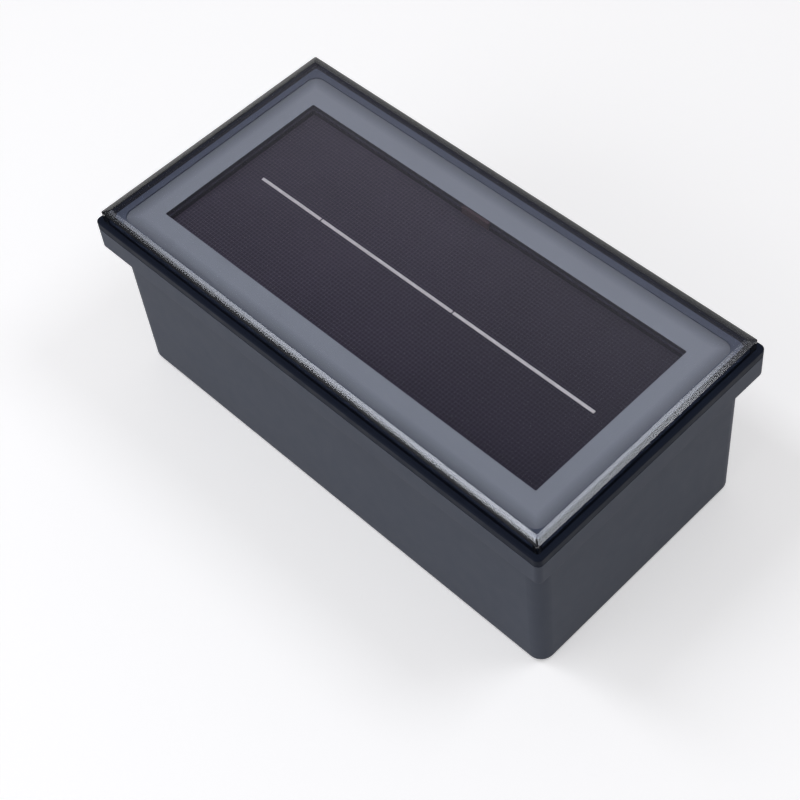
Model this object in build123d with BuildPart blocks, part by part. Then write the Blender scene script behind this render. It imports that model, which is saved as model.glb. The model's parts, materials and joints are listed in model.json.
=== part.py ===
"""Solar in-ground brick light: a box body with a flange, a dark rim frame and a bevelled clear lens.

Under the lens lie a light grey diffuser frame and a solar panel, and LEDs shine up through that frame.
The underside holds a battery compartment and a power button. Millimetres, with +Z up and X along the
length. The origin is the middle of the plane that the light stands on.
"""

import os
from math import atan, degrees, radians, tan

from build123d import *

os.makedirs("parts", exist_ok=True)

# Overall sizes
light_length = 200.0
light_width = 103.0
body_height = 68.0  # underside to the top of the flange
rim_height = 3.4  # dark rim above the flange
lens_rise = 3.6  # upright side of the lens above the rim
bevel_height = 1.0
bevel_width = 2.7

# Body
flange_height = 9.0
flange_overhang = 4.0
flange_edge_radius = 0.7
body_draft = 0.5  # each side comes in by this much at the foot
body_corner_radius = 5.0
foot_radius = 1.8
wall = 2.5
floor = 2.5

# Rim frame
rim_corner_radius = 2.0
rim_edge_radius = 0.6
rim_width = 2.0  # visible top of the rim, outside the lens
parting_groove_height = 0.4
parting_groove_depth = 0.5
inner_rim_width = 2.3  # inside the lens
lip_depth = 6.0
lip_wall = 1.5
lip_clearance = 0.2
housing_gasket_inset = 2.2
housing_gasket_width = 2.0
housing_gasket_thickness = 0.8

# Lens
lens_wall = 2.2
lens_plate = 2.0
lens_corner_radius = 0.8
lens_clearance = 0.1
lens_gasket_thickness = 0.5

# Diffuser frame
border_width_ends = 10.0
border_width_sides = 10.7
border_thickness = 1.6
border_drop = 0.4  # its top lies this far below the rim top
border_clearance = 0.2
border_corner_radius = 4.0
window_corner_radius = 0.4

# Solar panel and its tray
step_width = 0.8  # dark step that shows inside the window
step_thickness = 1.9
panel_overlap = 1.8
tray_wall = 1.0
tray_corner_radius = 2.0
panel_clearance = 0.2
panel_board_thickness = 1.6
cell_thickness = 0.3
ribbon_thickness = 0.2
ribbon_width = 1.1
ribbon_margin_left = 9.1  # from the end of the cell
ribbon_margin_right = 6.0
ribbon_breaks = (-43.7, 16.9)
ribbon_gap = 0.6
clip_x = -4.5
clip_length = 12.0
clip_wall = 0.35
clip_height = 1.2  # above the step

# Reflector tray, LED boards and LEDs
reflector_depth = 8.5
reflector_wall = 1.2
reflector_floor = 1.5
reflector_clearance = 0.2
led_board_gap = 0.2  # beside the board, to the walls of its trough
led_board_end_gap = 2.5
led_board_thickness = 1.0
led_length = 3.5
led_width = 2.8
led_thickness = 0.7
led_pitch = 20.0
led_end_margin = 4.0
link_inset = 3.0  # from the end of an LED board
link_drop = 3.5

# Long screws that hold the rim frame down
screw_inset = 10.8
screw_radius = 1.5
screw_length = 20.0
screw_clearance = 0.2
thread_clearance = 0.05
screw_head_radius = 2.8
screw_head_height = 2.0
well_radius = 3.5
well_wall = 1.4
screw_seat_height = 9.8  # from the screw's head to the top of its column
frame_boss_radius = 3.3
frame_boss_length = 13.0
boss_gap = 0.2
hole_spare_depth = 1.0

# Battery compartment
battery_radius = 9.2
battery_length = 65.0
battery_cap_radius = 3.0
battery_cap_height = 1.5
battery_clearance = 0.6
contact_thickness = 0.5
contact_size = 14.0
spring_length = 6.5
spring_wire_radius = 0.45
spring_turns = 3.5
spring_radius = 5.5
spring_cone_angle = 20.0
pocket_wall = 2.0
cover_end_margin = 10.5
cover_side_margin = 8.0
cover_thickness = 2.0
cover_clearance = 0.4
cover_corner_radius = 3.0
cover_sink = 0.4  # its face lies above the plane that the light stands on
cover_gasket_inset = 1.6
cover_gasket_width = 2.4
cover_gasket_thickness = 0.6
cover_screw_edge = 3.4
cover_screw_radius = 1.25
cover_screw_length = 7.0
cover_screw_head_radius = 2.3
cover_screw_head_height = 1.1
cover_screw_sink = 0.1
cover_boss_radius = 3.0
cover_boss_height = 4.5

# Power button and its switch
button_end_distance = 28.0  # from the end of the light
button_radius = 5.0
button_clearance = 0.1
button_travel = 1.6
button_sink = 0.9
button_edge_radius = 0.6
button_flange_radius = 6.2
button_flange_thickness = 1.0
button_recess_radius = 9.0
button_recess_depth = 3.0
stem_radius = 2.0
stem_clearance = 0.1
stem_entry = 2.5  # stem inside the switch at rest
seal_width = 1.2
seal_height = 1.3
seal_lift = 0.6
seal_clearance = 0.03
switch_size = 12.0
switch_height = 8.0
switch_gap = 6.5  # button flange to the switch
switch_ear_thickness = 1.5
post_width = 4.0
post_gap = 0.6  # beside the button's flange
switch_screw_radius = 1.0
switch_screw_length = 6.0
switch_screw_head_radius = 1.8
switch_screw_head_height = 1.1
button_spring_radius = 3.3
button_spring_wire_radius = 0.3
button_spring_turns = 4.0
spring_seat_gap = 0.05

# Control board
board_wall_gap = 6.0
board_boss_gap = 0.9  # to the bosses of the battery cover
board_length = 34.0
board_width = 58.0
board_thickness = 1.6
board_lift = 6.0
board_hole_inset = 3.5
board_boss_radius = 3.0
board_screw_radius = 1.0
board_screw_length = 5.0
board_screw_head_radius = 2.0
board_screw_head_height = 1.2
chip_length = 6.0
chip_width = 5.0
chip_height = 1.6
inductor_radius = 3.5
inductor_height = 4.5
capacitor_radius = 3.0
capacitor_height = 8.0
resistor_length = 3.2
resistor_width = 1.6
resistor_height = 0.6
resistor_count = 4
resistor_pitch = 3.0
socket_length = 6.0
socket_width = 8.0
socket_height = 5.0

# Leads
wire_radius = 0.7
wire_pitch = 2.5
cable_radius = 1.2
lead_hole_clearance = 0.3
lead_arc_share = 0.45  # of the shorter run beside a bend
lead_loop = 16.0  # length of the switch cable's slope at each end
lead_rise = 7.0
lead_shift = 3.0
switch_lead_height = 5.2  # above the foot of the switch
negative_lead_rise = 5.5
negative_lead_reach = 8.5
positive_lead_gap = 4.0  # to the walls of the battery pocket
panel_lead_reach = 12.0
panel_lead_rise = 16.9
panel_lead_drop = 18.9
led_lead_shift = 4.0
led_lead_rise = 14.9
led_lead_drop = 14.5

# Heights, from the plane that the light stands on
flange_bottom = body_height - flange_height
rim_top = body_height + rim_height
lens_wall_top = rim_top + lens_rise
light_height = lens_wall_top + bevel_height
lens_underside = light_height - lens_plate
border_top = rim_top - border_drop
ledge_top = border_top - border_thickness
channel_floor = ledge_top - lens_gasket_thickness
reflector_foot = body_height - reflector_depth
reflector_floor_top = reflector_foot + reflector_floor
panel_foot = ledge_top - step_thickness - panel_board_thickness
cell_foot = ledge_top - step_thickness
cell_top = cell_foot + cell_thickness
frame_boss_foot = body_height - frame_boss_length
housing_boss_top = frame_boss_foot - boss_gap
well_depth = housing_boss_top - screw_seat_height
draft_angle = degrees(atan(body_draft / flange_bottom))

# Insets from the outline of the rim
channel_outer = rim_width - lens_clearance
channel_inner = rim_width + lens_wall + lens_clearance
inner_rim_inset = channel_inner + inner_rim_width
border_inset = inner_rim_inset + border_clearance
cavity_inset = flange_overhang + wall
cavity_radius = body_corner_radius - wall
lip_outer = cavity_inset + lip_clearance
lip_inner = lip_outer + lip_wall
reflector_outer = lip_inner + reflector_clearance
reflector_inner = reflector_outer + reflector_wall
ledge_inner = reflector_inner

# Window, solar panel and LED boards
window_length = light_length - 2 * (border_inset + border_width_ends)
window_width = light_width - 2 * (border_inset + border_width_sides)
step_opening_length = window_length - 2 * step_width
step_opening_width = window_width - 2 * step_width
panel_pocket_length = step_opening_length + 2 * panel_overlap
panel_pocket_width = step_opening_width + 2 * panel_overlap
tray_length = panel_pocket_length + 2 * tray_wall
tray_width = panel_pocket_width + 2 * tray_wall
cell_length = step_opening_length - 2 * panel_clearance
cell_width = step_opening_width - 2 * panel_clearance

# Screws of the rim frame
frame_screw_x = light_length / 2 - screw_inset
frame_screw_y = light_width / 2 - screw_inset
notch_radius = frame_boss_radius + boss_gap

# LED boards, each in the trough between the panel tray and a wall of the reflector tray
side_board_y = (tray_width / 2 + light_width / 2 - reflector_inner) / 2
end_board_x = (tray_length / 2 + light_length / 2 - reflector_inner) / 2
side_board_width = (light_width - tray_width) / 2 - reflector_inner - 2 * led_board_gap
end_board_width = (light_length - tray_length) / 2 - reflector_inner - 2 * led_board_gap
side_board_length = 2 * (frame_screw_x - notch_radius - reflector_wall - led_board_end_gap)
end_board_length = 2 * (frame_screw_y - notch_radius - reflector_wall - led_board_end_gap)
led_board_top = reflector_floor_top + led_board_thickness

# Battery compartment, beside the control board
board_x = board_length / 2 + board_wall_gap + cavity_inset + body_draft - light_length / 2
pocket_length = 2 * contact_thickness + spring_length + battery_length + battery_cap_height
pocket_width = 2 * (battery_radius + battery_clearance)
cover_top = cover_sink + cover_thickness
cover_recess_top = cover_top + cover_gasket_thickness
cover_floor_top = cover_recess_top + floor
battery_z = cover_top + pocket_width / 2
pocket_top = cover_top + pocket_width
cover_length = pocket_length + 2 * cover_end_margin
cover_width = pocket_width + 2 * cover_side_margin
cover_screw_x = cover_length / 2 - cover_screw_edge
cover_screw_y = cover_width / 2 - cover_screw_edge
pocket_x = board_x + board_length / 2 + board_boss_gap + cover_boss_radius + cover_screw_x
pocket_start = pocket_x - pocket_length / 2
pocket_end = pocket_x + pocket_length / 2
battery_start = pocket_start + contact_thickness + spring_length
cover_screw_seat = cover_sink + cover_screw_sink + cover_screw_head_height
cover_hole_top = cover_screw_seat + cover_screw_length + hole_spare_depth / 2

# Power button
button_x = light_length / 2 - button_end_distance
button_floor_top = button_recess_depth + floor
button_flange_top = button_floor_top + button_flange_thickness
switch_foot = button_flange_top + switch_gap
switch_post_x = button_flange_radius + post_gap + post_width / 2
switch_ear_top = switch_foot + switch_ear_thickness
seal_foot = button_recess_depth + seal_lift

# Control board
board_foot = floor + board_lift
board_top = board_foot + board_thickness
board_hole_x = board_length / 2 - board_hole_inset
board_hole_y = board_width / 2 - board_hole_inset
socket_top = board_top + socket_height

# Places on the control board, from its middle
chip_spot = (2.0, 12.0)
inductor_spot = (8.0, 18.0)
capacitor_spot = (-10.0, -14.0)
resistor_spot = (0.0, -16.5)
socket_spots = {
    "battery_socket": (12.0, 2.0),
    "switch_socket": (12.0, -14.0),
    "panel_socket": (-2.0, -3.0),
    "led_socket": (-10.0, 14.0),
}


def corner_spots(x, y, middle_x=0.0):
    """Four spots, one to each side of the middle in X and Y."""
    return [(middle_x + side_x * x, side_y * y) for side_x in (-1, 1) for side_y in (-1, 1)]


def outline(inset, radius, mode=Mode.ADD):
    """Rounded rectangle that lies inside the outline of the rim by inset."""
    return RectangleRounded(light_length - 2 * inset, light_width - 2 * inset, radius, mode=mode)


def save(piece, label):
    """Labels a finished piece and writes it under the same name."""
    piece.part.label = label
    export_step(piece.part, f"parts/{label}.step")


frame_screw_spots = corner_spots(frame_screw_x, frame_screw_y)
cover_screw_spots = corner_spots(cover_screw_x, cover_screw_y, pocket_x)
board_screw_spots = corner_spots(board_hole_x, board_hole_y, board_x)
switch_post_spots = [(button_x + side * switch_post_x, 0) for side in (-1, 1)]

# Routes of the leads, each from its socket or board to what it feeds
battery_socket_x = board_x + socket_spots["battery_socket"][0]
battery_socket_y = socket_spots["battery_socket"][1]
switch_socket_x = board_x + socket_spots["switch_socket"][0]
switch_socket_y = socket_spots["switch_socket"][1]
panel_socket_x = board_x + socket_spots["panel_socket"][0]
panel_socket_y = socket_spots["panel_socket"][1]
led_socket_x = board_x + socket_spots["led_socket"][0]
led_socket_y = socket_spots["led_socket"][1]
negative_y = battery_socket_y - wire_pitch / 2
positive_y = battery_socket_y + wire_pitch / 2
switch_lead_z = switch_foot + switch_lead_height
panel_exit_x = panel_socket_x + panel_lead_reach
led_entry_y = led_socket_y - led_lead_shift
negative_bend_x = battery_socket_x + negative_lead_reach
negative_bend_z = socket_top + negative_lead_rise
positive_bend_x = pocket_end + pocket_wall + positive_lead_gap
positive_bend_z = pocket_top + pocket_wall + positive_lead_gap
negative_route = [
    (battery_socket_x, negative_y, socket_top),
    (battery_socket_x, negative_y, negative_bend_z),
    (negative_bend_x, negative_y, negative_bend_z),
    (negative_bend_x, negative_y, battery_z),
    (pocket_start, negative_y, battery_z),
]
positive_route = [
    (battery_socket_x, positive_y, socket_top),
    (battery_socket_x, positive_y, positive_bend_z),
    (positive_bend_x, positive_y, positive_bend_z),
    (positive_bend_x, positive_y, battery_z),
    (pocket_end, positive_y, battery_z),
]
switch_route = [
    (switch_socket_x, switch_socket_y, socket_top),
    (switch_socket_x, switch_socket_y, socket_top + lead_rise),
    (switch_socket_x + lead_loop, switch_socket_y - lead_shift, socket_top + lead_rise),
    (button_x - lead_loop, switch_socket_y - lead_shift, switch_lead_z + 2 * wire_radius),
    (button_x, switch_socket_y - lead_shift, switch_lead_z),
    (button_x, -switch_size / 2, switch_lead_z),
]
panel_route = [
    (panel_socket_x, panel_socket_y, socket_top),
    (panel_socket_x, panel_socket_y, socket_top + panel_lead_rise),
    (panel_exit_x, 0, panel_foot - panel_lead_drop),
    (panel_exit_x, 0, panel_foot),
]
led_route = [
    (led_socket_x, led_socket_y, socket_top),
    (led_socket_x, led_socket_y, socket_top + led_lead_rise),
    (-end_board_x, led_entry_y, reflector_foot - led_lead_drop),
    (-end_board_x, led_entry_y, reflector_floor_top),
]
link_low = reflector_foot - link_drop
link_x = side_board_length / 2 - link_inset
link_y = end_board_length / 2 - link_inset
link_corners = [(-1, -1), (-1, 1), (1, -1)]
lead_holes = [(panel_exit_x, 0), (-end_board_x, led_entry_y)]
for side_x, side_y in link_corners:
    lead_holes.append((side_x * end_board_x, side_y * link_y))
    lead_holes.append((side_x * link_x, side_y * side_board_y))


def bend_radii(points):
    """Arc at each corner of a route, as large as the shorter of its two runs allows."""
    corners = [Vector(*point) for point in points]
    runs = [end - start for start, end in zip(corners, corners[1:])]
    radii = []
    for before, after in zip(runs, runs[1:]):
        half_turn = radians(before.get_angle(after)) / 2
        radii.append(lead_arc_share * min(before.length, after.length) / tan(half_turn))
    return radii


def lead(points, radius):
    """Round lead along straight runs joined by arcs."""
    with BuildPart() as tube:
        with BuildLine() as route:
            FilletPolyline(*points, radius=bend_radii(points))
        with BuildSketch(Plane(origin=route.line @ 0, z_dir=route.line % 0)):
            Circle(radius)
        sweep()
    return tube


# Housing: flange first, then the drafted box, what is moulded inside it and what is cut from below
with BuildPart() as base_housing:
    with BuildSketch(Plane.XY.offset(flange_bottom)):
        outline(0, rim_corner_radius)
    extrude(amount=flange_height)
    fillet(base_housing.edges().group_by(Axis.Z)[0], flange_edge_radius)
    with BuildSketch():
        outline(flange_overhang + body_draft, body_corner_radius)
    extrude(amount=flange_bottom, taper=-draft_angle)
    fillet(base_housing.edges().group_by(Axis.Z)[0], foot_radius)
    with BuildSketch(Plane.XY.offset(floor)):
        outline(cavity_inset + body_draft, cavity_radius)
    extrude(amount=flange_bottom - floor, taper=-draft_angle, mode=Mode.SUBTRACT)
    with BuildSketch(Plane.XY.offset(flange_bottom)):
        outline(cavity_inset, cavity_radius)
    extrude(amount=flange_height, mode=Mode.SUBTRACT)
    with BuildSketch(Plane.XY.offset(body_height)):
        outline(housing_gasket_inset, rim_corner_radius)
        outline(housing_gasket_inset + housing_gasket_width, rim_corner_radius, mode=Mode.SUBTRACT)
    extrude(amount=-housing_gasket_thickness, mode=Mode.SUBTRACT)

    # Screw columns at the corners
    with BuildSketch(Plane.XY.offset(floor)):
        with Locations(*frame_screw_spots):
            Circle(well_radius + well_wall)
    extrude(amount=housing_boss_top - floor)

    # Raised floor over the battery cover, the pocket's walls and the cover's screw bosses
    with BuildSketch(Plane.XY.offset(floor)):
        with Locations((pocket_x, 0)):
            RectangleRounded(
                cover_length + 2 * (cover_clearance + wall),
                cover_width + 2 * (cover_clearance + wall),
                cover_corner_radius + wall,
            )
    extrude(amount=cover_floor_top - floor)
    with BuildSketch(Plane.XY.offset(cover_floor_top)):
        with Locations((pocket_x, 0)):
            Rectangle(pocket_length + 2 * pocket_wall, pocket_width + 2 * pocket_wall)
    extrude(amount=pocket_top + pocket_wall - cover_floor_top)
    with BuildSketch(Plane.XY.offset(cover_floor_top)):
        with Locations(*cover_screw_spots):
            Circle(cover_boss_radius)
    extrude(amount=cover_boss_height)

    # Raised floor and posts over the button
    with BuildSketch(Plane.XY.offset(floor)):
        with Locations((button_x, 0)):
            Circle(button_recess_radius + wall)
    extrude(amount=button_floor_top - floor)
    with BuildSketch(Plane.XY.offset(floor)):
        with Locations(*switch_post_spots):
            Rectangle(post_width, switch_size)
    extrude(amount=switch_foot - floor)

    # Bosses under the control board
    with BuildSketch(Plane.XY.offset(floor)):
        with Locations(*board_screw_spots):
            Circle(board_boss_radius)
    extrude(amount=board_lift)

    # Wells and holes for the long screws
    with BuildSketch():
        with Locations(*frame_screw_spots):
            Circle(well_radius)
    extrude(amount=well_depth, mode=Mode.SUBTRACT)
    with BuildSketch(Plane.XY.offset(well_depth)):
        with Locations(*frame_screw_spots):
            Circle(screw_radius + screw_clearance)
    extrude(amount=housing_boss_top - well_depth, mode=Mode.SUBTRACT)

    # Recess for the battery cover, the battery pocket and the holes for the cover's screws
    with BuildSketch():
        with Locations((pocket_x, 0)):
            RectangleRounded(
                cover_length + 2 * cover_clearance,
                cover_width + 2 * cover_clearance,
                cover_corner_radius + cover_clearance,
            )
    extrude(amount=cover_recess_top, mode=Mode.SUBTRACT)
    with BuildSketch(Plane.XY.offset(cover_recess_top)):
        with Locations((pocket_x, 0)):
            Rectangle(pocket_length, pocket_width)
    extrude(amount=pocket_top - cover_recess_top, mode=Mode.SUBTRACT)
    with BuildSketch(Plane.XY.offset(cover_recess_top)):
        with Locations(*cover_screw_spots):
            Circle(cover_screw_radius + thread_clearance)
    extrude(amount=cover_hole_top - cover_recess_top, mode=Mode.SUBTRACT)
    for end_x, lead_y in ((pocket_start - pocket_wall, negative_y), (pocket_end, positive_y)):
        with BuildSketch(Plane.YZ.offset(end_x)):
            with Locations((lead_y, battery_z)):
                Circle(wire_radius + lead_hole_clearance)
        extrude(amount=pocket_wall, mode=Mode.SUBTRACT)

    # Recess and guide for the button, with the groove of its seal
    with BuildSketch():
        with Locations((button_x, 0)):
            Circle(button_recess_radius)
    extrude(amount=button_recess_depth, mode=Mode.SUBTRACT)
    with BuildSketch(Plane.XY.offset(button_recess_depth)):
        with Locations((button_x, 0)):
            Circle(button_radius + button_clearance)
    extrude(amount=floor, mode=Mode.SUBTRACT)
    with BuildSketch(Plane.XY.offset(seal_foot)):
        with Locations((button_x, 0)):
            Circle(button_radius + seal_clearance + seal_width)
    extrude(amount=seal_height, mode=Mode.SUBTRACT)

    # Screw holes of the switch and of the control board
    with BuildSketch(Plane.XY.offset(switch_foot)):
        with Locations(*switch_post_spots):
            Circle(switch_screw_radius + thread_clearance)
    extrude(amount=-switch_screw_length, mode=Mode.SUBTRACT)
    with BuildSketch(Plane.XY.offset(board_foot)):
        with Locations(*board_screw_spots):
            Circle(board_screw_radius + thread_clearance)
    extrude(amount=-board_screw_length, mode=Mode.SUBTRACT)
save(base_housing, "base_housing")

with BuildPart() as housing_gasket:
    with BuildSketch(Plane.XY.offset(body_height - housing_gasket_thickness)):
        outline(housing_gasket_inset, rim_corner_radius)
        outline(housing_gasket_inset + housing_gasket_width, rim_corner_radius, mode=Mode.SUBTRACT)
    extrude(amount=housing_gasket_thickness)
save(housing_gasket, "housing_gasket")

# Rim frame: rim with its parting groove, channel for the lens, ledge, lip and screw bosses
with BuildPart() as rim_frame:
    with BuildSketch(Plane.XY.offset(body_height)):
        outline(parting_groove_depth, rim_corner_radius)
    extrude(amount=parting_groove_height)
    with BuildSketch(Plane.XY.offset(body_height + parting_groove_height)):
        outline(0, rim_corner_radius)
    extrude(amount=rim_height - parting_groove_height)
    fillet(rim_frame.edges().group_by(Axis.Z)[-1], rim_edge_radius)
    with BuildSketch(Plane.XY.offset(channel_floor)):
        outline(channel_outer, lens_corner_radius)
        outline(channel_inner, lens_corner_radius, mode=Mode.SUBTRACT)
    extrude(amount=rim_top - channel_floor, mode=Mode.SUBTRACT)
    with BuildSketch(Plane.XY.offset(ledge_top)):
        outline(inner_rim_inset, border_corner_radius)
    extrude(amount=rim_top - ledge_top, mode=Mode.SUBTRACT)
    with BuildSketch(Plane.XY.offset(body_height)):
        outline(ledge_inner, border_corner_radius)
    extrude(amount=ledge_top - body_height, mode=Mode.SUBTRACT)
    with BuildSketch(Plane.XY.offset(body_height)):
        outline(lip_outer, cavity_radius - lip_clearance)
        outline(lip_inner, rim_corner_radius, mode=Mode.SUBTRACT)
    extrude(amount=-lip_depth)
    with BuildSketch(Plane.XY.offset(frame_boss_foot)):
        with Locations(*frame_screw_spots):
            Circle(frame_boss_radius)
    extrude(amount=ledge_top - frame_boss_foot)
    with BuildSketch(Plane.XY.offset(frame_boss_foot)):
        with Locations(*frame_screw_spots):
            Circle(screw_radius + thread_clearance)
    extrude(amount=well_depth + screw_length + hole_spare_depth - frame_boss_foot, mode=Mode.SUBTRACT)
save(rim_frame, "rim_frame")

with BuildPart() as frame_screws:
    with BuildSketch(Plane.XY.offset(well_depth - screw_head_height)):
        with Locations(*frame_screw_spots):
            Circle(screw_head_radius)
    extrude(amount=screw_head_height)
    with BuildSketch(Plane.XY.offset(well_depth)):
        with Locations(*frame_screw_spots):
            Circle(screw_radius)
    extrude(amount=screw_length)
save(frame_screws, "frame_screws")

with BuildPart() as lens_gasket:
    with BuildSketch(Plane.XY.offset(channel_floor)):
        outline(rim_width, lens_corner_radius)
        outline(rim_width + lens_wall, lens_corner_radius, mode=Mode.SUBTRACT)
    extrude(amount=lens_gasket_thickness)
save(lens_gasket, "lens_gasket")

# Lens: a shallow clear cap with a wide bevel
with BuildPart() as lens:
    with BuildSketch(Plane.XY.offset(ledge_top)):
        outline(rim_width, lens_corner_radius)
    extrude(amount=lens_wall_top - ledge_top)
    with BuildSketch(Plane.XY.offset(lens_wall_top)):
        outline(rim_width, lens_corner_radius)
    with BuildSketch(Plane.XY.offset(light_height)):
        outline(rim_width + bevel_width, lens_corner_radius / 2)
    loft()
    with BuildSketch(Plane.XY.offset(ledge_top)):
        outline(rim_width + lens_wall, lens_corner_radius)
    extrude(amount=lens_underside - ledge_top, mode=Mode.SUBTRACT)
save(lens, "lens")

with BuildPart() as diffuser_frame:
    with BuildSketch(Plane.XY.offset(ledge_top)):
        outline(border_inset, border_corner_radius)
        RectangleRounded(window_length, window_width, window_corner_radius, mode=Mode.SUBTRACT)
    extrude(amount=border_thickness)
save(diffuser_frame, "diffuser_frame")

# Reflector tray: open white trough that hangs in the lip of the rim frame
with BuildPart() as reflector_tray:
    with BuildSketch(Plane.XY.offset(reflector_foot)):
        outline(reflector_outer, rim_corner_radius)
        with Locations(*frame_screw_spots):
            Circle(notch_radius, mode=Mode.SUBTRACT)
    extrude(amount=reflector_depth)
    with BuildSketch(Plane.XY.offset(reflector_floor_top)):
        outline(reflector_inner, rim_corner_radius)
        with Locations(*frame_screw_spots):
            Circle(notch_radius + reflector_wall, mode=Mode.SUBTRACT)
    extrude(amount=reflector_depth - reflector_floor, mode=Mode.SUBTRACT)
    with BuildSketch(Plane.XY.offset(reflector_foot)):
        with Locations(*lead_holes):
            Circle(cable_radius + lead_hole_clearance)
    extrude(amount=reflector_floor, mode=Mode.SUBTRACT)
save(reflector_tray, "reflector_tray")

# Panel tray: upright walls with an inner lip over the edge of the solar panel
with BuildPart() as panel_tray:
    with BuildSketch(Plane.XY.offset(reflector_floor_top)):
        RectangleRounded(tray_length, tray_width, tray_corner_radius)
    extrude(amount=ledge_top - reflector_floor_top)
    with BuildSketch(Plane.XY.offset(reflector_floor_top)):
        Rectangle(panel_pocket_length, panel_pocket_width)
    extrude(amount=cell_foot - reflector_floor_top, mode=Mode.SUBTRACT)
    with BuildSketch(Plane.XY.offset(cell_foot)):
        Rectangle(step_opening_length, step_opening_width)
    extrude(amount=step_thickness, mode=Mode.SUBTRACT)
save(panel_tray, "panel_tray")

with BuildPart() as panel_board:
    with BuildSketch(Plane.XY.offset(panel_foot)):
        Rectangle(panel_pocket_length - 2 * panel_clearance, panel_pocket_width - 2 * panel_clearance)
    extrude(amount=panel_board_thickness)
save(panel_board, "panel_board")

with BuildPart() as solar_cell:
    with BuildSketch(Plane.XY.offset(cell_foot)):
        Rectangle(cell_length, cell_width)
    extrude(amount=cell_thickness)
save(solar_cell, "solar_cell")

# Ribbon in three lengths along the middle of the cell
ribbon_start = ribbon_margin_left - cell_length / 2
ribbon_end = cell_length / 2 - ribbon_margin_right
ribbon_ends = [ribbon_start, *ribbon_breaks, ribbon_end]
with BuildPart() as cell_ribbons:
    for start, end in zip(ribbon_ends, ribbon_ends[1:]):
        with BuildSketch(Plane.XY.offset(cell_top)):
            with Locations(((start + end) / 2, 0)):
                Rectangle(end - start - ribbon_gap, ribbon_width)
        extrude(amount=ribbon_thickness)
save(cell_ribbons, "cell_ribbons")

# Dark clip over the step, in the middle of the far long side of the window
with BuildPart() as panel_edge_clip:
    with BuildSketch(Plane.XY.offset(ledge_top)):
        with Locations((clip_x, window_width / 2)):
            Rectangle(clip_length, step_width + clip_wall, align=(Align.CENTER, Align.MAX))
    extrude(amount=clip_height)
    with BuildSketch(Plane.XY.offset(cell_top)):
        with Locations((clip_x, step_opening_width / 2)):
            Rectangle(clip_length, clip_wall, align=(Align.CENTER, Align.MAX))
    extrude(amount=ledge_top - cell_top)
save(panel_edge_clip, "panel_edge_clip")

# LED boards on the floor of the reflector tray, each with its row of LEDs
led_rows = {
    "front": ((0, -side_board_y), 0, side_board_length, side_board_width),
    "rear": ((0, side_board_y), 0, side_board_length, side_board_width),
    "left": ((-end_board_x, 0), 90, end_board_length, end_board_width),
    "right": ((end_board_x, 0), 90, end_board_length, end_board_width),
}
for side, (middle, turn, row_length, row_width) in led_rows.items():
    with BuildPart() as led_board:
        with BuildSketch(Plane.XY.offset(reflector_floor_top)):
            with Locations(Location((*middle, 0), turn)):
                Rectangle(row_length, row_width)
        extrude(amount=led_board_thickness)
    save(led_board, f"led_board_{side}")
    led_count = 1 + int((row_length - led_length - 2 * led_end_margin) / led_pitch)
    with BuildPart() as leds:
        with BuildSketch(Plane.XY.offset(led_board_top)):
            with Locations(Location((*middle, 0), turn)):
                with GridLocations(led_pitch, 0, led_count, 1):
                    Rectangle(led_length, led_width)
        extrude(amount=led_thickness)
    save(leds, f"leds_{side}")

# Two-core links that join the LED boards under the tray
with BuildPart() as led_link_cables:
    for side_x, side_y in link_corners:
        end_spot = (side_x * end_board_x, side_y * link_y)
        side_spot = (side_x * link_x, side_y * side_board_y)
        link_points = [
            (*end_spot, reflector_floor_top),
            (*end_spot, link_low),
            (*side_spot, link_low),
            (*side_spot, reflector_floor_top),
        ]
        with BuildLine() as link_line:
            FilletPolyline(*link_points, radius=bend_radii(link_points))
        with BuildSketch(Plane(origin=link_line.line @ 0, z_dir=link_line.line % 0)):
            Circle(cable_radius)
        sweep(path=link_line.line)
save(led_link_cables, "led_link_cables")

# Control board and what is soldered to it
with BuildPart() as control_board:
    with BuildSketch(Plane.XY.offset(board_foot)):
        with Locations((board_x, 0)):
            Rectangle(board_length, board_width)
        with Locations(*board_screw_spots):
            Circle(board_screw_radius + screw_clearance, mode=Mode.SUBTRACT)
    extrude(amount=board_thickness)
save(control_board, "control_board")

with BuildPart() as board_screws:
    with BuildSketch(Plane.XY.offset(board_top)):
        with Locations(*board_screw_spots):
            Circle(board_screw_head_radius)
    extrude(amount=board_screw_head_height)
    with BuildSketch(Plane.XY.offset(board_top)):
        with Locations(*board_screw_spots):
            Circle(board_screw_radius)
    extrude(amount=-board_screw_length)
save(board_screws, "board_screws")

with BuildPart() as control_chip:
    with BuildSketch(Plane.XY.offset(board_top)):
        with Locations((board_x + chip_spot[0], chip_spot[1])):
            Rectangle(chip_length, chip_width)
    extrude(amount=chip_height)
save(control_chip, "control_chip")

with BuildPart() as inductor:
    with BuildSketch(Plane.XY.offset(board_top)):
        with Locations((board_x + inductor_spot[0], inductor_spot[1])):
            Circle(inductor_radius)
    extrude(amount=inductor_height)
save(inductor, "inductor")

with BuildPart() as capacitor:
    with BuildSketch(Plane.XY.offset(board_top)):
        with Locations((board_x + capacitor_spot[0], capacitor_spot[1])):
            Circle(capacitor_radius)
    extrude(amount=capacitor_height)
save(capacitor, "capacitor")

with BuildPart() as resistors:
    with BuildSketch(Plane.XY.offset(board_top)):
        with Locations((board_x + resistor_spot[0], resistor_spot[1])):
            with GridLocations(0, resistor_pitch, 1, resistor_count):
                Rectangle(resistor_length, resistor_width)
    extrude(amount=resistor_height)
save(resistors, "resistors")

for socket_name, spot in socket_spots.items():
    with BuildPart() as socket:
        with BuildSketch(Plane.XY.offset(board_top)):
            with Locations((board_x + spot[0], spot[1])):
                Rectangle(socket_length, socket_width)
        extrude(amount=socket_height)
    save(socket, socket_name)

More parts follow.
